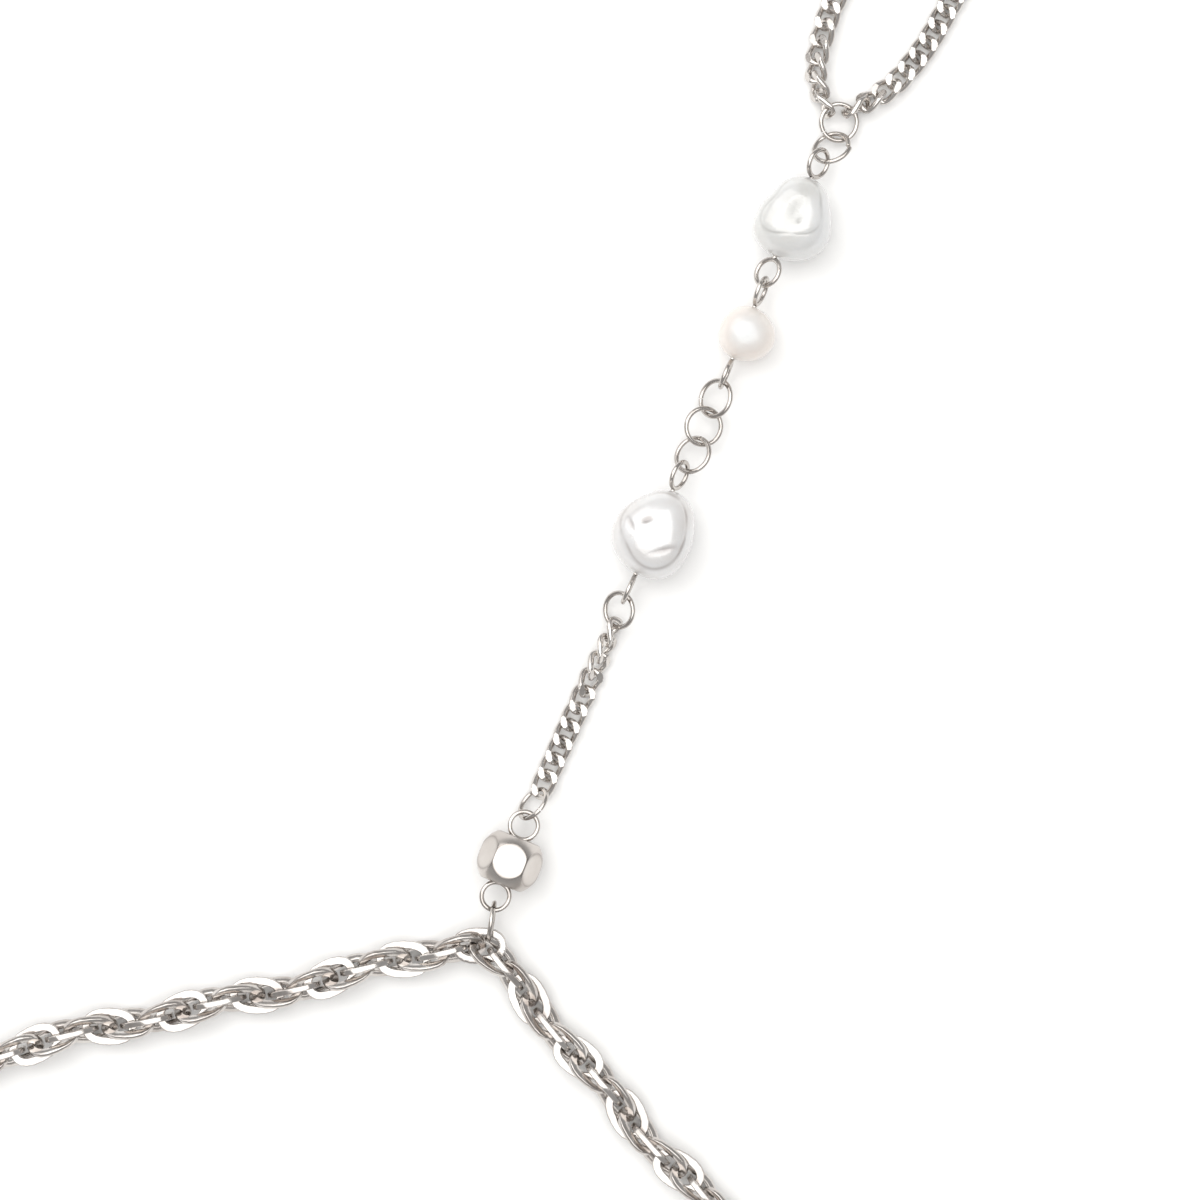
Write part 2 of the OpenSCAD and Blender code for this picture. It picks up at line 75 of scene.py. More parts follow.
def links_in(node):
    """The middle of each link of a CAD chain, and its own length, width and thickness axes.

    Each point takes the lowest number that its triangles reach, until none changes: points with
    one number are a link. The axes are the directions in which its points spread, widest first."""
    points, triangles = corner_points(node)
    number = np.arange(len(points))
    while True:
        lower = number.copy()
        np.minimum.at(lower, triangles.ravel(), np.repeat(number[triangles].min(1), 3))
        lower = lower[lower]
        if (lower == number).all():
            break
        number = lower
    count = len(np.unique(number))
    links = points[np.argsort(number, kind="stable")].reshape(count, -1, 3)
    middle = links.mean(1)
    off = links - middle[:, None]
    _, axes = np.linalg.eigh(np.einsum("kpi,kpj->kij", off, off))
    axes = np.swapaxes(axes[:, :, ::-1], 1, 2)
    axes[:, 2] = np.cross(axes[:, 0], axes[:, 1])
    return middle, axes


def oval(turn, long, wide, square):
    """A point of an oval: half its length times cos(turn) and half its width times sin(turn),
    each share raised to 2 / square with its sign kept, and the outward direction there."""
    cos, sin = np.cos(turn), np.sin(turn)
    share = 2 / square
    x = np.sign(cos) * np.abs(cos) ** share
    y = np.sign(sin) * np.abs(sin) ** share
    out = np.stack([
        np.sign(x) * np.abs(x) ** (square - 1) / long,
        np.sign(y) * np.abs(y) ** (square - 1) / wide], -1)
    point = np.stack([x * long / 2, y * wide / 2], -1)
    return point, out / np.linalg.norm(out, axis=-1, keepdims=True)


def ring_faces(rings, stations, section):
    """Faces of closed rings: point c of station i joins point c + 1 and station i + 1, and both
    counts wrap round."""
    k, i, c = np.ogrid[:rings, :stations, :section]

    def at(i, c):
        return (k * stations + i % stations) * section + c % section

    return np.stack([at(i, c), at(i + 1, c), at(i + 1, c + 1), at(i, c + 1)], -1).reshape(-1, 4)


def new_piece(name, points, faces, normals, material, node):
    """A piece from arrays of points, faces and point normals, that stands for a CAD node."""
    mesh = bpy.data.meshes.new(name)
    mesh.from_pydata(points.reshape(-1, 3), [], faces.tolist())
    mesh.shade_smooth()
    if normals is not None:
        mesh.normals_split_custom_set_from_vertices(normals.reshape(-1, 3))
    mesh.materials.append(material)
    piece = bpy.data.objects.new(name, mesh)
    bpy.context.scene.collection.objects.link(piece)
    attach(piece, "root")
    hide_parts(node)
    return piece


def point_values(piece, name, values):
    """A number on each point of a piece, for its material to read by this name."""
    attribute = piece.data.attributes.new(name, "FLOAT", "POINT")
    attribute.data.foreach_set("value", values.ravel())


def chain_piece(name, node, link, material):
    """A link's points and normals set on every link of a CAD chain, by its middle and axes."""
    middle, axes = links_in(nodes[node])
    points, normals = link
    placed = np.einsum("scx,kxj->kscj", points, axes) + middle[:, None, None]
    facing = np.einsum("scx,kxj->kscj", normals, axes)
    faces = ring_faces(len(middle), *points.shape[:2])
    new_piece(name, placed, faces, facing, material, node)


def rope_link():
    """A flat ring of wire: the section is a rectangle with its four edges cut back, its offset
    from the wire's middle is added to the oval's length and width, and its height stands on the
    ring's plane. Normals lean outwards a little on each side, so that a side is crowned."""
    turn = np.linspace(0, 2 * np.pi, ROPE_STATIONS, endpoint=False)[:, None]
    w, h, e = ROPE_BAR_WIDE / 2, ROPE_BAR_THICK / 2, ROPE_EDGE
    across = np.array([w, w, w - e, e - w, -w, -w, e - w, w - e])
    through = np.array([e - h, h - e, h, h, h - e, e - h, -h, -h])
    lean = np.array([
        [1, -ROPE_CROWN], [1, ROPE_CROWN], [ROPE_CROWN, 1], [-ROPE_CROWN, 1],
        [-1, ROPE_CROWN], [-1, -ROPE_CROWN], [-ROPE_CROWN, -1], [ROPE_CROWN, -1]])
    lean /= np.linalg.norm(lean, axis=1, keepdims=True)
    grow = 2 * across - ROPE_BAR_WIDE
    point, out = oval(turn, ROPE_LINK_LONG + grow, ROPE_LINK_WIDE + grow, ROPE_SQUARE)
    height = np.broadcast_to(through, point.shape[:2])[..., None]
    up = np.broadcast_to(lean[:, 1], point.shape[:2])[..., None]
    return np.concatenate([point, height], -1), np.concatenate([out * lean[:, :1], up], -1)


def new_material(name):
    """A material with its node tree, and its Principled shader."""
    material = bpy.data.materials.new(name)
    material.use_nodes = True
    return material, material.node_tree, material.node_tree.nodes["Principled BSDF"]


def add(tree, kind, inputs=(), **settings):
    """A node of this kind with its settings, and its inputs as values or as sockets to link."""
    node = tree.nodes.new(kind)
    for name, value in settings.items():
        setattr(node, name, value)
    for name, value in dict(inputs).items():
        if isinstance(value, bpy.types.NodeSocket):
            tree.links.new(value, node.inputs[name])
        else:
            node.inputs[name].default_value = value
    return node


COLOUR_A, COLOUR_B, COLOUR_MIXED = 6, 7, 2


def blend(tree, share, first, second):
    """The colour that lies this share of the way from the first to the second."""
    mix = add(tree, "ShaderNodeMix", {
        "Factor": share, COLOUR_A: first, COLOUR_B: second}, data_type="RGBA")
    return mix.outputs[COLOUR_MIXED]


def new_group(name, inputs, outputs):
    """An empty shader group with named inputs (type and first value) and outputs (type)."""
    group = bpy.data.node_groups.new(name, "ShaderNodeTree")
    for label, (kind, value) in inputs.items():
        socket = group.interface.new_socket(label, in_out="INPUT", socket_type=kind)
        if value is not None:
            socket.default_value = value
    for label, kind in outputs.items():
        group.interface.new_socket(label, in_out="OUTPUT", socket_type=kind)
    return group, group.nodes.new("NodeGroupInput").outputs, group.nodes.new("NodeGroupOutput")


COLOUR, NUMBER, VECTOR = "NodeSocketColor", "NodeSocketFloat", "NodeSocketVector"
CLOUD_LOW, CLOUD_HIGH = 0.3, 0.7


def polish_group():
    """Polished steel: cloudy tarnish between two colours, roughness that follows it, and the
    hair-fine marks of the polishing wheel as a bump."""
    group, given, end = new_group(
        "wheel polish",
        {"Place": (VECTOR, None), "Bright": (COLOUR, (0.8, 0.8, 0.8, 1)),
         "Dull": (COLOUR, (0.6, 0.6, 0.6, 1)), "Cloud scale": (NUMBER, 400.0),
         "Smoothest": (NUMBER, 0.1), "Roughest": (NUMBER, 0.3), "Marks": (NUMBER, 0.1)},
        {"Colour": COLOUR, "Roughness": NUMBER, "Normal": VECTOR})
    cloud = add(group, "ShaderNodeTexNoise", {
        "Vector": given["Place"], "Scale": given["Cloud scale"], "Detail": 4.0,
        "Roughness": 0.6})
    spread = add(group, "ShaderNodeMapRange", {
        "Value": cloud.outputs["Fac"], "From Min": CLOUD_LOW, "From Max": CLOUD_HIGH})
    tone = blend(group, spread.outputs["Result"], given["Bright"], given["Dull"])
    rough = add(group, "ShaderNodeMapRange", {
        "Value": cloud.outputs["Fac"], "From Min": CLOUD_LOW, "From Max": CLOUD_HIGH,
        "To Min": given["Smoothest"], "To Max": given["Roughest"]})
    stretch = add(group, "ShaderNodeMapping", {
        "Vector": given["Place"], "Rotation": (0.3, 0.5, 0.9), "Scale": (1.0, 7.0, 3.0)})
    hair = add(group, "ShaderNodeTexNoise", {
        "Vector": stretch.outputs["Vector"], "Scale": 1500.0, "Detail": 3.0})
    bump = add(group, "ShaderNodeBump", {
        "Strength": given["Marks"], "Distance": 0.02 * MM, "Height": hair.outputs["Fac"]})
    group.links.new(tone, end.inputs["Colour"])
    group.links.new(rough.outputs["Result"], end.inputs["Roughness"])
    group.links.new(bump.outputs["Normal"], end.inputs["Normal"])
    return group


wheel_polish = polish_group()


def steel(name, bright, dull, smoothest, roughest, marks, cloud_scale):
    """Steel with the wheel polish at its own values, in a node of the name polish."""
    material, tree, shader = new_material(name)
    shader.inputs["Metallic"].default_value = 1.0
    place = add(tree, "ShaderNodeTexCoord")
    polish = add(tree, "ShaderNodeGroup", node_tree=wheel_polish, name="polish")
    tree.links.new(place.outputs["Object"], polish.inputs["Place"])
    for label, value in (("Bright", (*bright, 1)), ("Dull", (*dull, 1)), ("Marks", marks),
                         ("Smoothest", smoothest), ("Roughest", roughest),
                         ("Cloud scale", cloud_scale)):
        polish.inputs[label].default_value = value
    tree.links.new(polish.outputs["Colour"], shader.inputs["Base Color"])
    tree.links.new(polish.outputs["Roughness"], shader.inputs["Roughness"])
    tree.links.new(polish.outputs["Normal"], shader.inputs["Normal"])
    return material


rope_steel = steel(
    "rolled_steel", bright=(0.72, 0.695, 0.67), dull=(0.5, 0.46, 0.435),
    smoothest=0.08, roughest=0.22, marks=0.35, cloud_scale=350.0)
chain_piece("rope_chain", "wrist_chain", rope_link(), rope_steel)

# Clasp and its rings: one stamped steel plate, with a window for the ring of one chain end and a
# hole for the other's. Its edges are tumbled soft, so the plate is the CAD one with a rounded
# edge. The rings here and along the strand, and the eye pins, are bent from one drawn wire.

CLASP_EDGE = 0.18 * MM
WIRE_NODES = (
    "clasp_ring_left", "clasp_ring_right", "bead_ring_low", "bead_pin", "bead_ring_high",
    "strand_ring", "lower_pearl_pin", "link_ring_a", "link_ring_b", "link_ring_c",
    "small_pearl_pin", "upper_pearl_pin", "finger_ring_high")

clasp_steel = steel(
    "stamped_steel", bright=(0.62, 0.59, 0.55), dull=(0.46, 0.43, 0.4),
    smoothest=0.14, roughest=0.3, marks=0.3, cloud_scale=250.0)
points, faces = corner_points(nodes["clasp"])
clasp = new_piece("clasp_plate", points, faces, None, clasp_steel, "clasp")
bevel = clasp.modifiers.new("tumbled edge", "BEVEL")
bevel.width = CLASP_EDGE
bevel.segments = 3
bevel.limit_method = "ANGLE"
bevel.harden_normals = True

wire_steel = steel(
    "drawn_wire", bright=(0.65, 0.62, 0.59), dull=(0.46, 0.425, 0.4),
    smoothest=0.08, roughest=0.2, marks=0.25, cloud_scale=500.0)
for name in WIRE_NODES:
    for material_slot in nodes[name].material_slots:
        material_slot.material = wire_steel

# Metal bead: turned steel with six round facets cut on it, one of them up, dished at both ends
# for the eyes of its pin and bored through. The facets are polished to a mirror, the rest is
# satin, and a thin dark line of painted shade is drawn where they meet.

BEAD_ROUND = 6.8 * MM
BEAD_FLATS = 5.8 * MM
BEAD_LONG = 5.2 * MM
BEAD_DISH_DEEP = 0.5 * MM
BEAD_DISH = 3.0 * MM
BEAD_DISH_LIP = 0.04 * MM
BEAD_DISH_WALL = 0.06 * MM
BEAD_DISH_FOOT = 0.1 * MM
BEAD_BORE = 0.74 * MM
BEAD_BORE_BREAK = 0.05 * MM
BEAD_FACETS = 6
BEAD_SHARP = 60
BEAD_AROUND = 144
BEAD_ALONG = 72
BEAD_SATIN = (("Smoothest", 0.26), ("Roughest", 0.38))
# The colour of the painted shade on the facets' edges.
BEAD_EDGE_SHADE = (0.12, 0.1, 0.09, 1)


def pin_line(node):
    """The middle of a straight pin, the way it runs from its lower to its higher Y, and the
    directions to its side and up, all square to each other."""
    points, _ = corner_points(nodes[node])
    middle = (points.min(0) + points.max(0)) / 2
    off = points - points.mean(0)
    _, axes = np.linalg.eigh(off.T @ off)
    ahead = axes[:, 2] * np.sign(axes[1, 2])
    side = np.cross((0.0, 0.0, 1.0), ahead)
    side /= np.linalg.norm(side)
    return middle, np.array([ahead, side, np.cross(ahead, side)])


def turned(along, out, count):
    """Rows of points round the first axis, so many to a row, by the row's place along the axis
    and its distance from it."""
    turn = np.linspace(0, 2 * np.pi, count, endpoint=False)
    return np.stack(np.broadcast_arrays(along, out * np.cos(turn), out * np.sin(turn)), -1)


def metal_bead():
    """Rows round the bead's axis. Outside, the reach in each direction is the smallest of the
    ball's, the facets' and the ends', taken as the root of a sum of high powers, which rounds
    the edges. The dishes and the bore are rows of even radius. With it comes how much of the
    sum at each point is a facet's or an end's."""
    tilt_low = np.arctan2(BEAD_DISH / 2, BEAD_LONG / 2)
    tilt = np.linspace(tilt_low, np.pi - tilt_low, BEAD_ALONG)[:, None]
    way = turned(np.cos(tilt), np.sin(tilt), BEAD_AROUND)
    facet = np.pi / 2 + np.arange(BEAD_FACETS) * 2 * np.pi / BEAD_FACETS
    walls = np.concatenate([
        np.stack([0 * facet, np.cos(facet), np.sin(facet)], -1) / (BEAD_FLATS / 2),
        np.array([[1, 0, 0], [-1, 0, 0]]) / (BEAD_LONG / 2)])
    near = np.clip(way @ walls.T, 0, None) * (BEAD_ROUND / 2)
    flat = (near ** BEAD_SHARP).sum(-1)
    reach = BEAD_ROUND / 2 * (1 + flat) ** (-1 / BEAD_SHARP)
    floor = BEAD_LONG / 2 - BEAD_DISH_DEEP
    dish = np.array([
        [BEAD_LONG / 2, BEAD_DISH / 2 - BEAD_DISH_LIP],
        [floor, BEAD_DISH / 2 - BEAD_DISH_WALL], [floor, BEAD_DISH / 2 - BEAD_DISH_FOOT],
        [floor, BEAD_BORE / 2 + BEAD_BORE_BREAK], [floor - BEAD_BORE_BREAK, BEAD_BORE / 2]])
    rows = np.concatenate([dish * (-1, 1), dish[::-1]])
    inside = turned(rows[:, :1], rows[:, 1:], BEAD_AROUND)
    share = np.concatenate([flat / (1 + flat), np.zeros(inside.shape[:2])])
    return np.concatenate([way * reach[..., None], inside]), share


bead_steel = steel(
    "faceted_steel", bright=(0.66, 0.625, 0.595), dull=(0.56, 0.52, 0.49),
    smoothest=0.04, roughest=0.12, marks=0.1, cloud_scale=300.0)
tree = bead_steel.node_tree
polish = tree.nodes["polish"]
facet = add(tree, "ShaderNodeAttribute", attribute_name="facet").outputs["Fac"]
for label, satin in BEAD_SATIN:
    mirror = polish.inputs[label]
    rough = add(tree, "ShaderNodeMapRange", {
        "Value": facet, "To Min": satin, "To Max": mirror.default_value})
    tree.links.new(rough.outputs["Result"], mirror)

# Painted shade on the edge: the dark line is strongest where the ball and a facet have an
# equal share, and is none in either.
edge = add(tree, "ShaderNodeMath", {0: facet, 1: 0.5}, operation="PINGPONG")
tone = blend(tree, edge.outputs["Value"], polish.outputs["Colour"], BEAD_EDGE_SHADE)
tree.links.new(tone, tree.nodes["Principled BSDF"].inputs["Base Color"])
middle, axes = pin_line("bead_pin")
points, share = metal_bead()
bead = new_piece("bead_ball", points @ axes + middle, ring_faces(1, *share.shape), None,
                 bead_steel, "metal_bead")
point_values(bead, "facet", share)

# Curb chains: twisted links of round wire, each through one neighbour at either end, tumbled and
# then cut flat on both faces, so each link shows two bright flats. One length runs up the strand,
# the other makes the finger loop.

CURB_LINK_LONG = 3.4 * MM
CURB_LINK_WIDE = 2.58 * MM
CURB_WIRE = 0.66 * MM
CURB_FLAT_THICK = 1.18 * MM
CURB_RISE = 0.47 * MM
CURB_SQUARE = 2.3
CURB_STATIONS = 32
CURB_SIDES = 14
CURB_STEP = 0.035


def curb_middle(turn):
    """The middle of the wire: an oval that rises and falls twice, by the sine of double the
    turn."""
    point, _ = oval(turn, CURB_LINK_LONG - CURB_WIRE, CURB_LINK_WIDE - CURB_WIRE, CURB_SQUARE)
    return np.concatenate([point, -CURB_RISE * np.sin(2 * turn)[..., None]], -1)


def curb_link():
    """The wire's round section stands square to its way, which is read a small step before and
    after each station. What lies above or below the flats is pressed onto them."""
    turn = (np.arange(CURB_STATIONS) + 0.5) * 2 * np.pi / CURB_STATIONS
    ahead = curb_middle(turn + CURB_STEP) - curb_middle(turn - CURB_STEP)
    ahead /= np.linalg.norm(ahead, axis=1, keepdims=True)
    out = np.cross(ahead, (0.0, 0.0, 1.0))
    out /= np.linalg.norm(out, axis=1, keepdims=True)
    up = np.cross(out, ahead)
    round_wire = np.arange(CURB_SIDES)[None, :, None] * 2 * np.pi / CURB_SIDES
    normals = np.cos(round_wire) * out[:, None] + np.sin(round_wire) * up[:, None]
    points = curb_middle(turn)[:, None] + CURB_WIRE / 2 * normals
    cut = np.abs(points[..., 2]) > CURB_FLAT_THICK / 2
    side = np.sign(points[..., 2])
    points[..., 2] = np.clip(points[..., 2], -CURB_FLAT_THICK / 2, CURB_FLAT_THICK / 2)
    flat = np.stack([0 * side, 0 * side, side], -1)
    return points, np.where(cut[..., None], flat, normals)


curb_steel = steel(
    "cut_steel", bright=(0.75, 0.72, 0.69), dull=(0.55, 0.515, 0.49),
    smoothest=0.08, roughest=0.2, marks=0.25, cloud_scale=450.0)
chain_piece("strand_curb", "strand_chain", curb_link(), curb_steel)
chain_piece("finger_curb", "finger_chain", curb_link(), curb_steel)

# Pearls: two white baroque ones and a rounder cream one, drilled through for their wire pins. The
# nacre is glossy over low wrinkles and dents, and a crease in it runs round the top of each
# baroque. Shade is painted into the crease and the dents, and onto the top of the cream one.

PEARL_AROUND = 240
PEARL_ALONG = 180
PEARL_BORE = 0.74 * MM
PEARL_BORE_ROWS = 6
PEARL_BORE_BREAK = 0.1 * MM
FIT_POWERS = (5, 6)
TOP_FADE = 0.25
CREASE_WAVES = 4
CREASE_HALF = 0.14
CREASE_DEEP = 0.035
CREASE_EVEN = 0.8
CREASE_SWING = 0.7
FLAT_POWER = 1.5

# Creases and dents are in millimetres from a pearl's middle, seen from above. A crease is its
# middle and its route. A dent is its middle, its turn in degrees, its half length and half
# width, its rise, and how much painted shade it puts on the nacre; a negative amount takes
# painted shade away.
LOWER_CREASE = ((-0.2, 0.2), (
    (-3.45, 1.6), (-3.0, 2.5), (-1.9, 3.4), (-0.5, 3.95), (0.9, 4.05), (2.0, 3.75), (2.75, 2.9),
    (3.1, 1.6), (3.05, -0.35), (2.65, -1.55), (1.85, -2.85), (0.7, -3.6), (-0.4, -3.8),
    (-1.5, -3.3), (-2.6, -2.0), (-3.3, -0.6), (-3.6, 0.6)))
LOWER_DENTS = (
    ((-0.9, 1.35), 20, 0.7, 0.34, -0.17, 1.4),
    ((0.9, -1.9), 15, 1.3, 0.3, -0.1, 0.8),
    ((-2.6, 0.9), 110, 0.8, 0.25, -0.1, 0.8))
UPPER_CREASE = ((-0.3, 0.8), (
    (-3.5, -0.4), (-3.1, 0.6), (-1.8, 2.2), (-0.5, 3.6), (0.5, 4.05), (1.7, 3.7), (2.4, 2.8),
    (2.7, 1.5), (2.7, -0.4), (2.4, -1.35), (1.7, -1.85), (0.6, -2.1), (-0.6, -2.1),
    (-1.8, -1.9), (-2.7, -1.6), (-3.3, -1.1)))
UPPER_DENTS = (
    ((0.25, 0.9), 62, 1.7, 0.85, -0.14, 0.95),
    ((0.45, -0.75), 40, 0.45, 0.25, -0.08, 1.0),
    ((1.0, -1.45), 20, 1.6, 0.4, 0.1, -1.0))
SMALL_DENTS = (((-0.3, 0.3), 30, 0.9, 0.5, -0.03, 0.0),)


def power_terms(way):
    """Every product of powers of a direction's three shares whose powers add up to 5 or 6:
    together they make any smooth shape of up to six waves round a ball."""
    terms = [
        way[..., 0] ** i * way[..., 1] ** j * way[..., 2] ** (total - i - j)
        for total in FIT_POWERS for i in range(total + 1) for j in range(total + 1 - i)]
    return np.stack(terms, -1)


def pearl(name, node, relief, material):
    """The CAD pearl's reach from a point of its pin, fitted by smooth waves over direction, read
    on a fine grid round the pin and changed by the relief. The last rows are the bore's wall.
    The relief's painted shade is kept on the points for the nacre."""
    middle, axes = pin_line(node + "_pin")
    points, _ = corner_points(nodes[node])
    local = (points - middle) @ axes.T
    shift = (local[:, 0].min() + local[:, 0].max()) / 2
    local[:, 0] -= shift
    middle = middle + shift * axes[0]
    skin = local[np.hypot(local[:, 1], local[:, 2]) > PEARL_BORE]
    reach = np.linalg.norm(skin, axis=1)
    shares = np.linalg.lstsq(power_terms(skin / reach[:, None]), reach, rcond=None)[0]
    end = PEARL_BORE / 2 / local[:, 0].max()
    tilt = np.linspace(end, np.pi - end, PEARL_ALONG)[:, None]
    way = turned(np.cos(tilt), np.sin(tilt), PEARL_AROUND)
    reach = power_terms(way) @ shares
    height, shade = relief(way @ axes, (way @ axes) * reach[..., None] / MM)
    outside = way * (reach + height * MM)[..., None]
    low, high = outside[-1, :, 0].mean(), outside[0, :, 0].mean()
    rows = np.linspace(low + PEARL_BORE_BREAK, high - PEARL_BORE_BREAK, PEARL_BORE_ROWS)
    inside = turned(rows[:, None], PEARL_BORE / 2, PEARL_AROUND)
    points = np.concatenate([outside, inside])
    faces = ring_faces(1, *points.shape[:2])
    piece = new_piece(name, points @ axes + middle, faces, None, material, node)
    point_values(piece, "shade", np.concatenate([shade, np.zeros(inside.shape[:2])]))


def crease_waves(angle):
    """The waves round a turn that a crease's distance from its middle is made of."""
    turns = angle[..., None] * np.arange(CREASE_WAVES + 1)
    return np.concatenate([np.cos(turns), np.sin(turns)], -1)


def inside_crease(place, middle, route):
    """How far a point lies inside a crease, in millimetres, seen from above: the crease's
    distance from its middle, a smooth fit through its route, less the point's own. With it one
    less the square of the point's distance as a share of the crease's."""
    route = np.array(route) - middle
    off = place[..., :2] - middle
    fit = np.linalg.lstsq(
        crease_waves(np.arctan2(route[:, 1], route[:, 0])), np.hypot(*route.T), rcond=None)[0]
    crease = crease_waves(np.arctan2(off[..., 1], off[..., 0])) @ fit
    own = np.hypot(off[..., 0], off[..., 1])
    return crease - own, 1 - (own / crease) ** 2


def wrinkles(way, seed, waves, count):
    """Low wrinkles: a sum of plane waves in random directions, from a fixed seed."""
    random = np.random.default_rng(seed)
    lines = random.normal(size=(count, 3))
    lines *= waves / np.linalg.norm(lines, axis=1, keepdims=True)
    return np.sin(way @ lines.T + random.uniform(0, 2 * np.pi, count)).mean(-1)


def dented(place, dents):
    """The height and the painted shade that some dents add up to. Each is an oval hump on the
    upper side that falls off as the exponential of minus the square of the distance."""
    height = shade = 0
    for middle, angle, long, wide, rise, dark in dents:
        off = place[..., :2] - middle
        cos, sin = np.cos(np.radians(angle)), np.sin(np.radians(angle))
        along = (off[..., 0] * cos + off[..., 1] * sin) / long
        across = (off[..., 1] * cos - off[..., 0] * sin) / wide
        hump = np.exp(-along ** 2 - across ** 2) * (place[..., 2] > 0)
        height = height + rise * hump
        # Painted shade in the dent, or taken away where its amount is negative.
        shade = shade + dark * hump
    return height, shade


def baroque(way, place, crease, dents, flatten, crease_painted_shade, waves_high, seed):
    """Dents and wrinkles on a top that is lowered inside its crease, by the share there raised to
    a power. The crease is a narrow valley of uneven depth, which falls off as the exponential of
    minus the square of the distance. Both fade out on the pearl's underside. Shade is painted
    into the valley and the dents."""
    top = np.clip(way[..., 2] / TOP_FADE, 0, 1) ** 2
    within, share = inside_crease(place, *crease)
    uneven = CREASE_EVEN + CREASE_SWING * wrinkles(way, seed=11, waves=13, count=5)
    valley = np.exp(-(within / CREASE_HALF) ** 2) * top * uneven
    flat = np.clip(share, 0, None) ** FLAT_POWER * top
    height, shade = dented(place, dents)
    height = height - CREASE_DEEP * valley - flatten * flat
    height = height + waves_high * wrinkles(way, seed, waves=9, count=7)
    # Painted shade of the dents and of the crease's valley.
    return height, np.clip(shade + crease_painted_shade * valley, 0, 1)


def lower_relief(way, place):
    """A nick and two folds inside the crease, each with painted shade."""
    return baroque(way, place, LOWER_CREASE, LOWER_DENTS,
                   flatten=0.17, crease_painted_shade=0.9, waves_high=0.035, seed=3)


def upper_relief(way, place):
    """A long hollow with a nick at its foot, both with painted shade, and a raised lip beside it,
    which takes the crease's painted shade away there.
    """
    return baroque(way, place, UPPER_CREASE, UPPER_DENTS,
                   flatten=0.3, crease_painted_shade=0.7, waves_high=0.06, seed=5)


def small_relief(way, place):
    """Faint wrinkles and one shallow dent. The shade is painted on the top, greying the nacre
    where the lamps' highlight falls.
    """
    height, _ = dented(place, SMALL_DENTS)
    height = height + 0.02 * wrinkles(way, seed=8, waves=6, count=6)
    # Painted shade on the top, where the lamps' highlight falls.
    return height, np.clip(way[..., 2], 0, 1) ** 4


def nacre(name, core, blush, shadow, wrinkle_scale, rough, coat_rough, gloss):
    """Pearl: a pale core with a blush in drifts, blended towards the shadow colour by the painted
    shade on its points, with fine wrinkles as bump, under a glossy coat. Part of its light comes
    back as from a mirror."""
    material, tree, shader = new_material(name)
    place = add(tree, "ShaderNodeTexCoord").outputs["Object"]
    drift = add(tree, "ShaderNodeTexNoise", {"Vector": place, "Scale": 260.0, "Detail": 3.0})
    mask = add(tree, "ShaderNodeMapRange", {
        "Value": drift.outputs["Fac"], "From Min": 0.4, "From Max": 0.68})
    tone = blend(tree, mask.outputs["Result"], (*core, 1), (*blush, 1))
    shade = add(tree, "ShaderNodeAttribute", attribute_name="shade")
    # Painted shade: the nacre is darkened towards the shadow colour by the points' shade.
    toned = blend(tree, shade.outputs["Fac"], tone, (*shadow, 1))
    skin = add(tree, "ShaderNodeTexNoise", {
        "Vector": place, "Scale": wrinkle_scale, "Detail": 6.0, "Roughness": 0.6,
        "Distortion": 0.8})
    bump = add(tree, "ShaderNodeBump", {
        "Strength": 0.6, "Distance": 0.1 * MM, "Height": skin.outputs["Fac"]})
    tree.links.new(toned, shader.inputs["Base Color"])
    tree.links.new(bump.outputs["Normal"], shader.inputs["Normal"])
    for label, value in (("Metallic", gloss), ("Roughness", rough), ("IOR", 1.6),
                         ("Coat Weight", 1.0), ("Coat Roughness", coat_rough),
                         ("Coat IOR", 1.6), ("Subsurface Weight", 0.2),
                         ("Subsurface Scale", 1.5 * MM), ("Subsurface Radius", (1, 0.9, 0.85))):
        shader.inputs[label].default_value = value
    return material


mirror_nacre = nacre(
    "mirror_nacre", core=(0.76, 0.76, 0.765), blush=(0.7, 0.68, 0.67),
    shadow=(0.46, 0.43, 0.42), wrinkle_scale=1000.0, rough=0.25, coat_rough=0.07, gloss=0.14)
satin_nacre = nacre(
    "satin_nacre", core=(0.74, 0.745, 0.75), blush=(0.68, 0.68, 0.665),
    shadow=(0.46, 0.46, 0.445), wrinkle_scale=800.0, rough=0.3, coat_rough=0.07, gloss=0.08)
cream_nacre = nacre(
    "cream_nacre", core=(0.85, 0.79, 0.74), blush=(0.84, 0.75, 0.69),
    shadow=(0.67, 0.69, 0.7), wrinkle_scale=600.0, rough=0.4, coat_rough=0.22, gloss=0.05)
pearl("lower_baroque", "lower_pearl", lower_relief, mirror_nacre)
pearl("small_round", "small_pearl", small_relief, cream_nacre)
pearl("upper_baroque", "upper_pearl", upper_relief, satin_nacre)

# Split ring: the lower of the two wire rings that hang the finger loop on the strand. It was
# opened to thread it, and its ends have stayed a little apart, one further out than the other.

RING_RADIUS = 1.9 * MM
RING_WIRE = 0.5 * MM
RING_EDGE = 0.05 * MM
RING_STATIONS = 90
RING_SIDES = 14
SLIT_WIDE = 0.16 * MM
SLIT_STEP = 0.24 * MM
SLIT_WAY = (1.0, -0.3, 0.0)


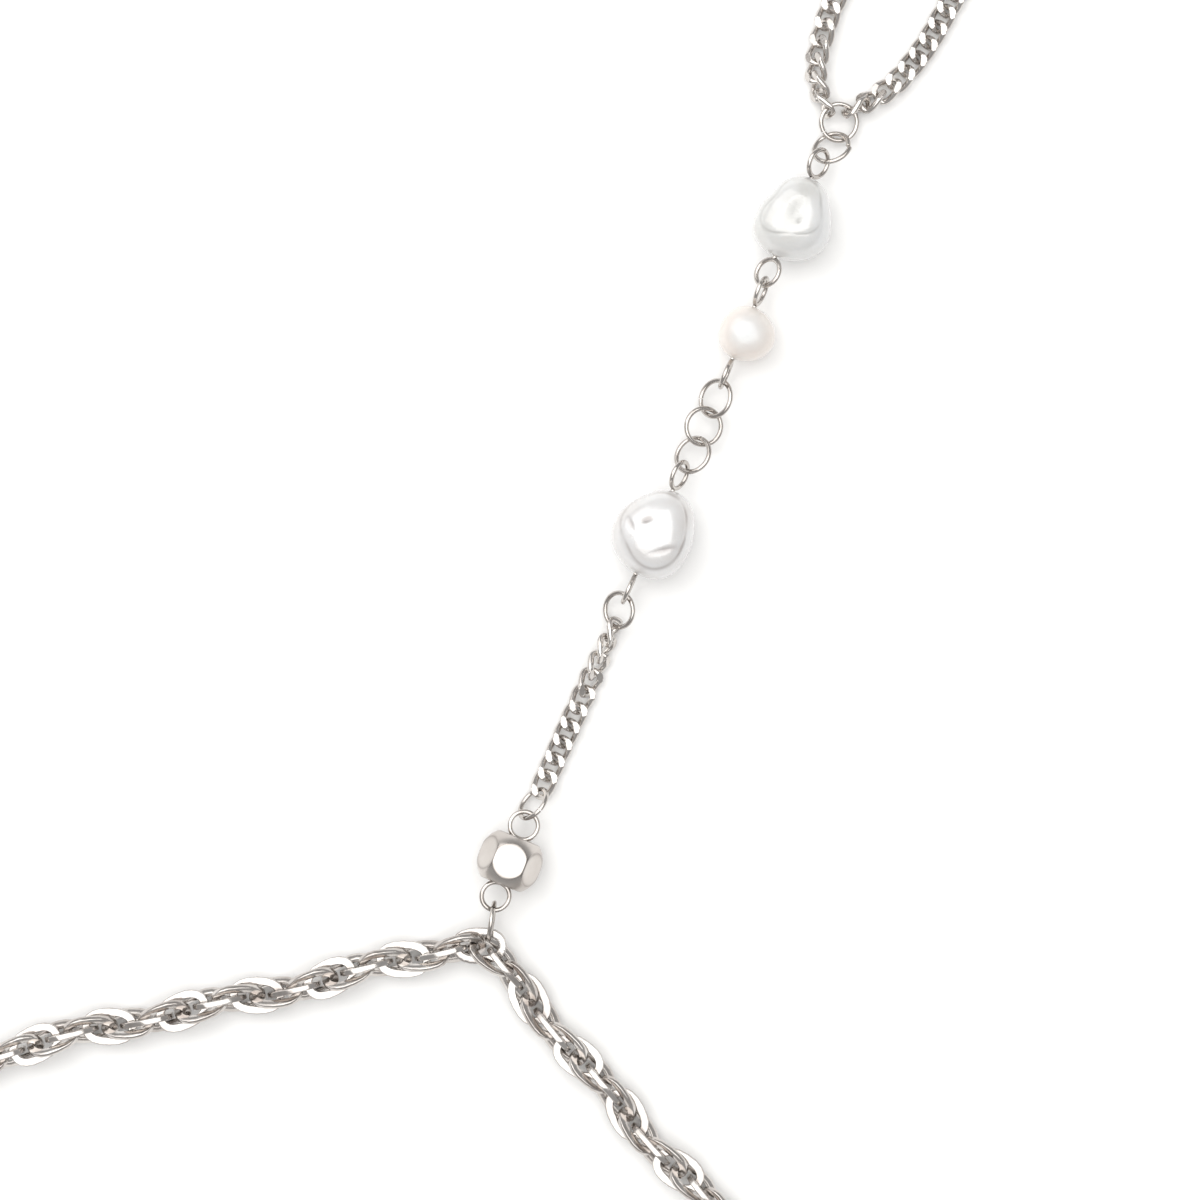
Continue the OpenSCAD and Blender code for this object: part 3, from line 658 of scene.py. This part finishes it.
def split_ring(node):
    """A round wire round an open turn in the CAD ring's plane, whose radius grows evenly by the
    slit's step. The section at each end is smaller by the broken edge, and flat across."""
    points, _ = corner_points(nodes[node])
    middle = (points.min(0) + points.max(0)) / 2
    _, axes = np.linalg.eigh((points - middle).T @ (points - middle))
    up = axes[:, 0] * np.sign(axes[2, 0])
    side = np.cross(up, SLIT_WAY)
    side /= np.linalg.norm(side)
    start = SLIT_WIDE / 2 / RING_RADIUS
    tip = start + RING_EDGE / RING_RADIUS
    between = np.linspace(tip, 2 * np.pi - tip, RING_STATIONS - 2)
    turn = np.concatenate([[start], between, [2 * np.pi - start]])[:, None]
    wire = np.full((RING_STATIONS, 1), RING_WIRE / 2)
    wire[[0, -1]] -= RING_EDGE
    round_wire = np.arange(RING_SIDES) * 2 * np.pi / RING_SIDES
    out = RING_RADIUS + SLIT_STEP * (turn / (2 * np.pi) - 0.5) + wire * np.cos(round_wire)
    points = np.stack([out * np.cos(turn), out * np.sin(turn), wire * np.sin(round_wire)], -1)
    walls = ring_faces(1, RING_STATIONS, RING_SIDES)[:-RING_SIDES]
    i = np.arange(RING_SIDES // 2 - 1)
    end = np.stack([i, i + 1, RING_SIDES - 2 - i, RING_SIDES - 1 - i], -1)
    faces = np.concatenate([walls, end, end[:, ::-1] + (RING_STATIONS - 1) * RING_SIDES])
    return points @ np.array([np.cross(side, up), side, up]) + middle, faces


points, faces = split_ring("finger_ring_low")
new_piece("split_ring", points, faces, None, wire_steel, "finger_ring_low")

# Table, light and camera: a matt white table under a large soft lamp overhead and a weaker one
# up to the left. The table lies lower than the CAD by what the rope's thicker wire needs. The
# camera looks straight down, and its picture is 125 mm wide at the table.

TABLE_WIDE = 4.0
TABLE_DROP = 0.14 * MM
VIEW_MIDDLE = (16.8 * MM, 5.1 * MM)
VIEW_WIDE = 125 * MM
LENS = 100.0
SENSOR = 36.0

bpy.ops.mesh.primitive_plane_add(size=TABLE_WIDE)
table = bpy.context.object
table.name = "table"
table.location.z = -TABLE_DROP
paper, tree, shader = new_material("white_table")
place = add(tree, "ShaderNodeTexCoord").outputs["Object"]
drift = add(tree, "ShaderNodeTexNoise", {"Vector": place, "Scale": 9.0, "Detail": 2.0})
tone = blend(tree, drift.outputs["Fac"], (0.96, 0.96, 0.958, 1), (0.98, 0.98, 0.975, 1))
tree.links.new(tone, shader.inputs["Base Color"])
shader.inputs["Roughness"].default_value = 0.9
shader.inputs["Specular IOR Level"].default_value = 0.1
table.data.materials.append(paper)

for name, size, place, watts in (
        ("lamp_left", 0.8, (-0.45, 0.45, 0.6), 2.7),
        ("lamp_over", 1.0, (0.0, 0.05, 0.8), 6.0)):
    lamp = bpy.data.lights.new(name, "AREA")
    lamp.size = size
    lamp.energy = watts
    lamp.color = (1.0, 0.99, 0.975)
    lit = bpy.data.objects.new(name, lamp)
    lit.location = place
    aim = Vector(np.subtract((*VIEW_MIDDLE, 0), place))
    lit.rotation_mode = "QUATERNION"
    lit.rotation_quaternion = aim.to_track_quat("-Z", "Y")
    lit.visible_camera = False
    bpy.context.scene.collection.objects.link(lit)

world = bpy.data.worlds.new("room")
world.use_nodes = True
room = world.node_tree.nodes["Background"]
room.inputs["Color"].default_value = (0.42, 0.418, 0.415, 1)
room.inputs["Strength"].default_value = 1.0
bpy.context.scene.world = world

camera = bpy.data.objects.new("camera", bpy.data.cameras.new("camera"))
camera.data.lens = LENS
camera.data.sensor_width = SENSOR
camera.data.clip_start = 0.01
camera.location = (*VIEW_MIDDLE, VIEW_WIDE * LENS / SENSOR)
bpy.context.scene.collection.objects.link(camera)
bpy.context.scene.camera = camera
bpy.context.scene.view_settings.view_transform = "Standard"
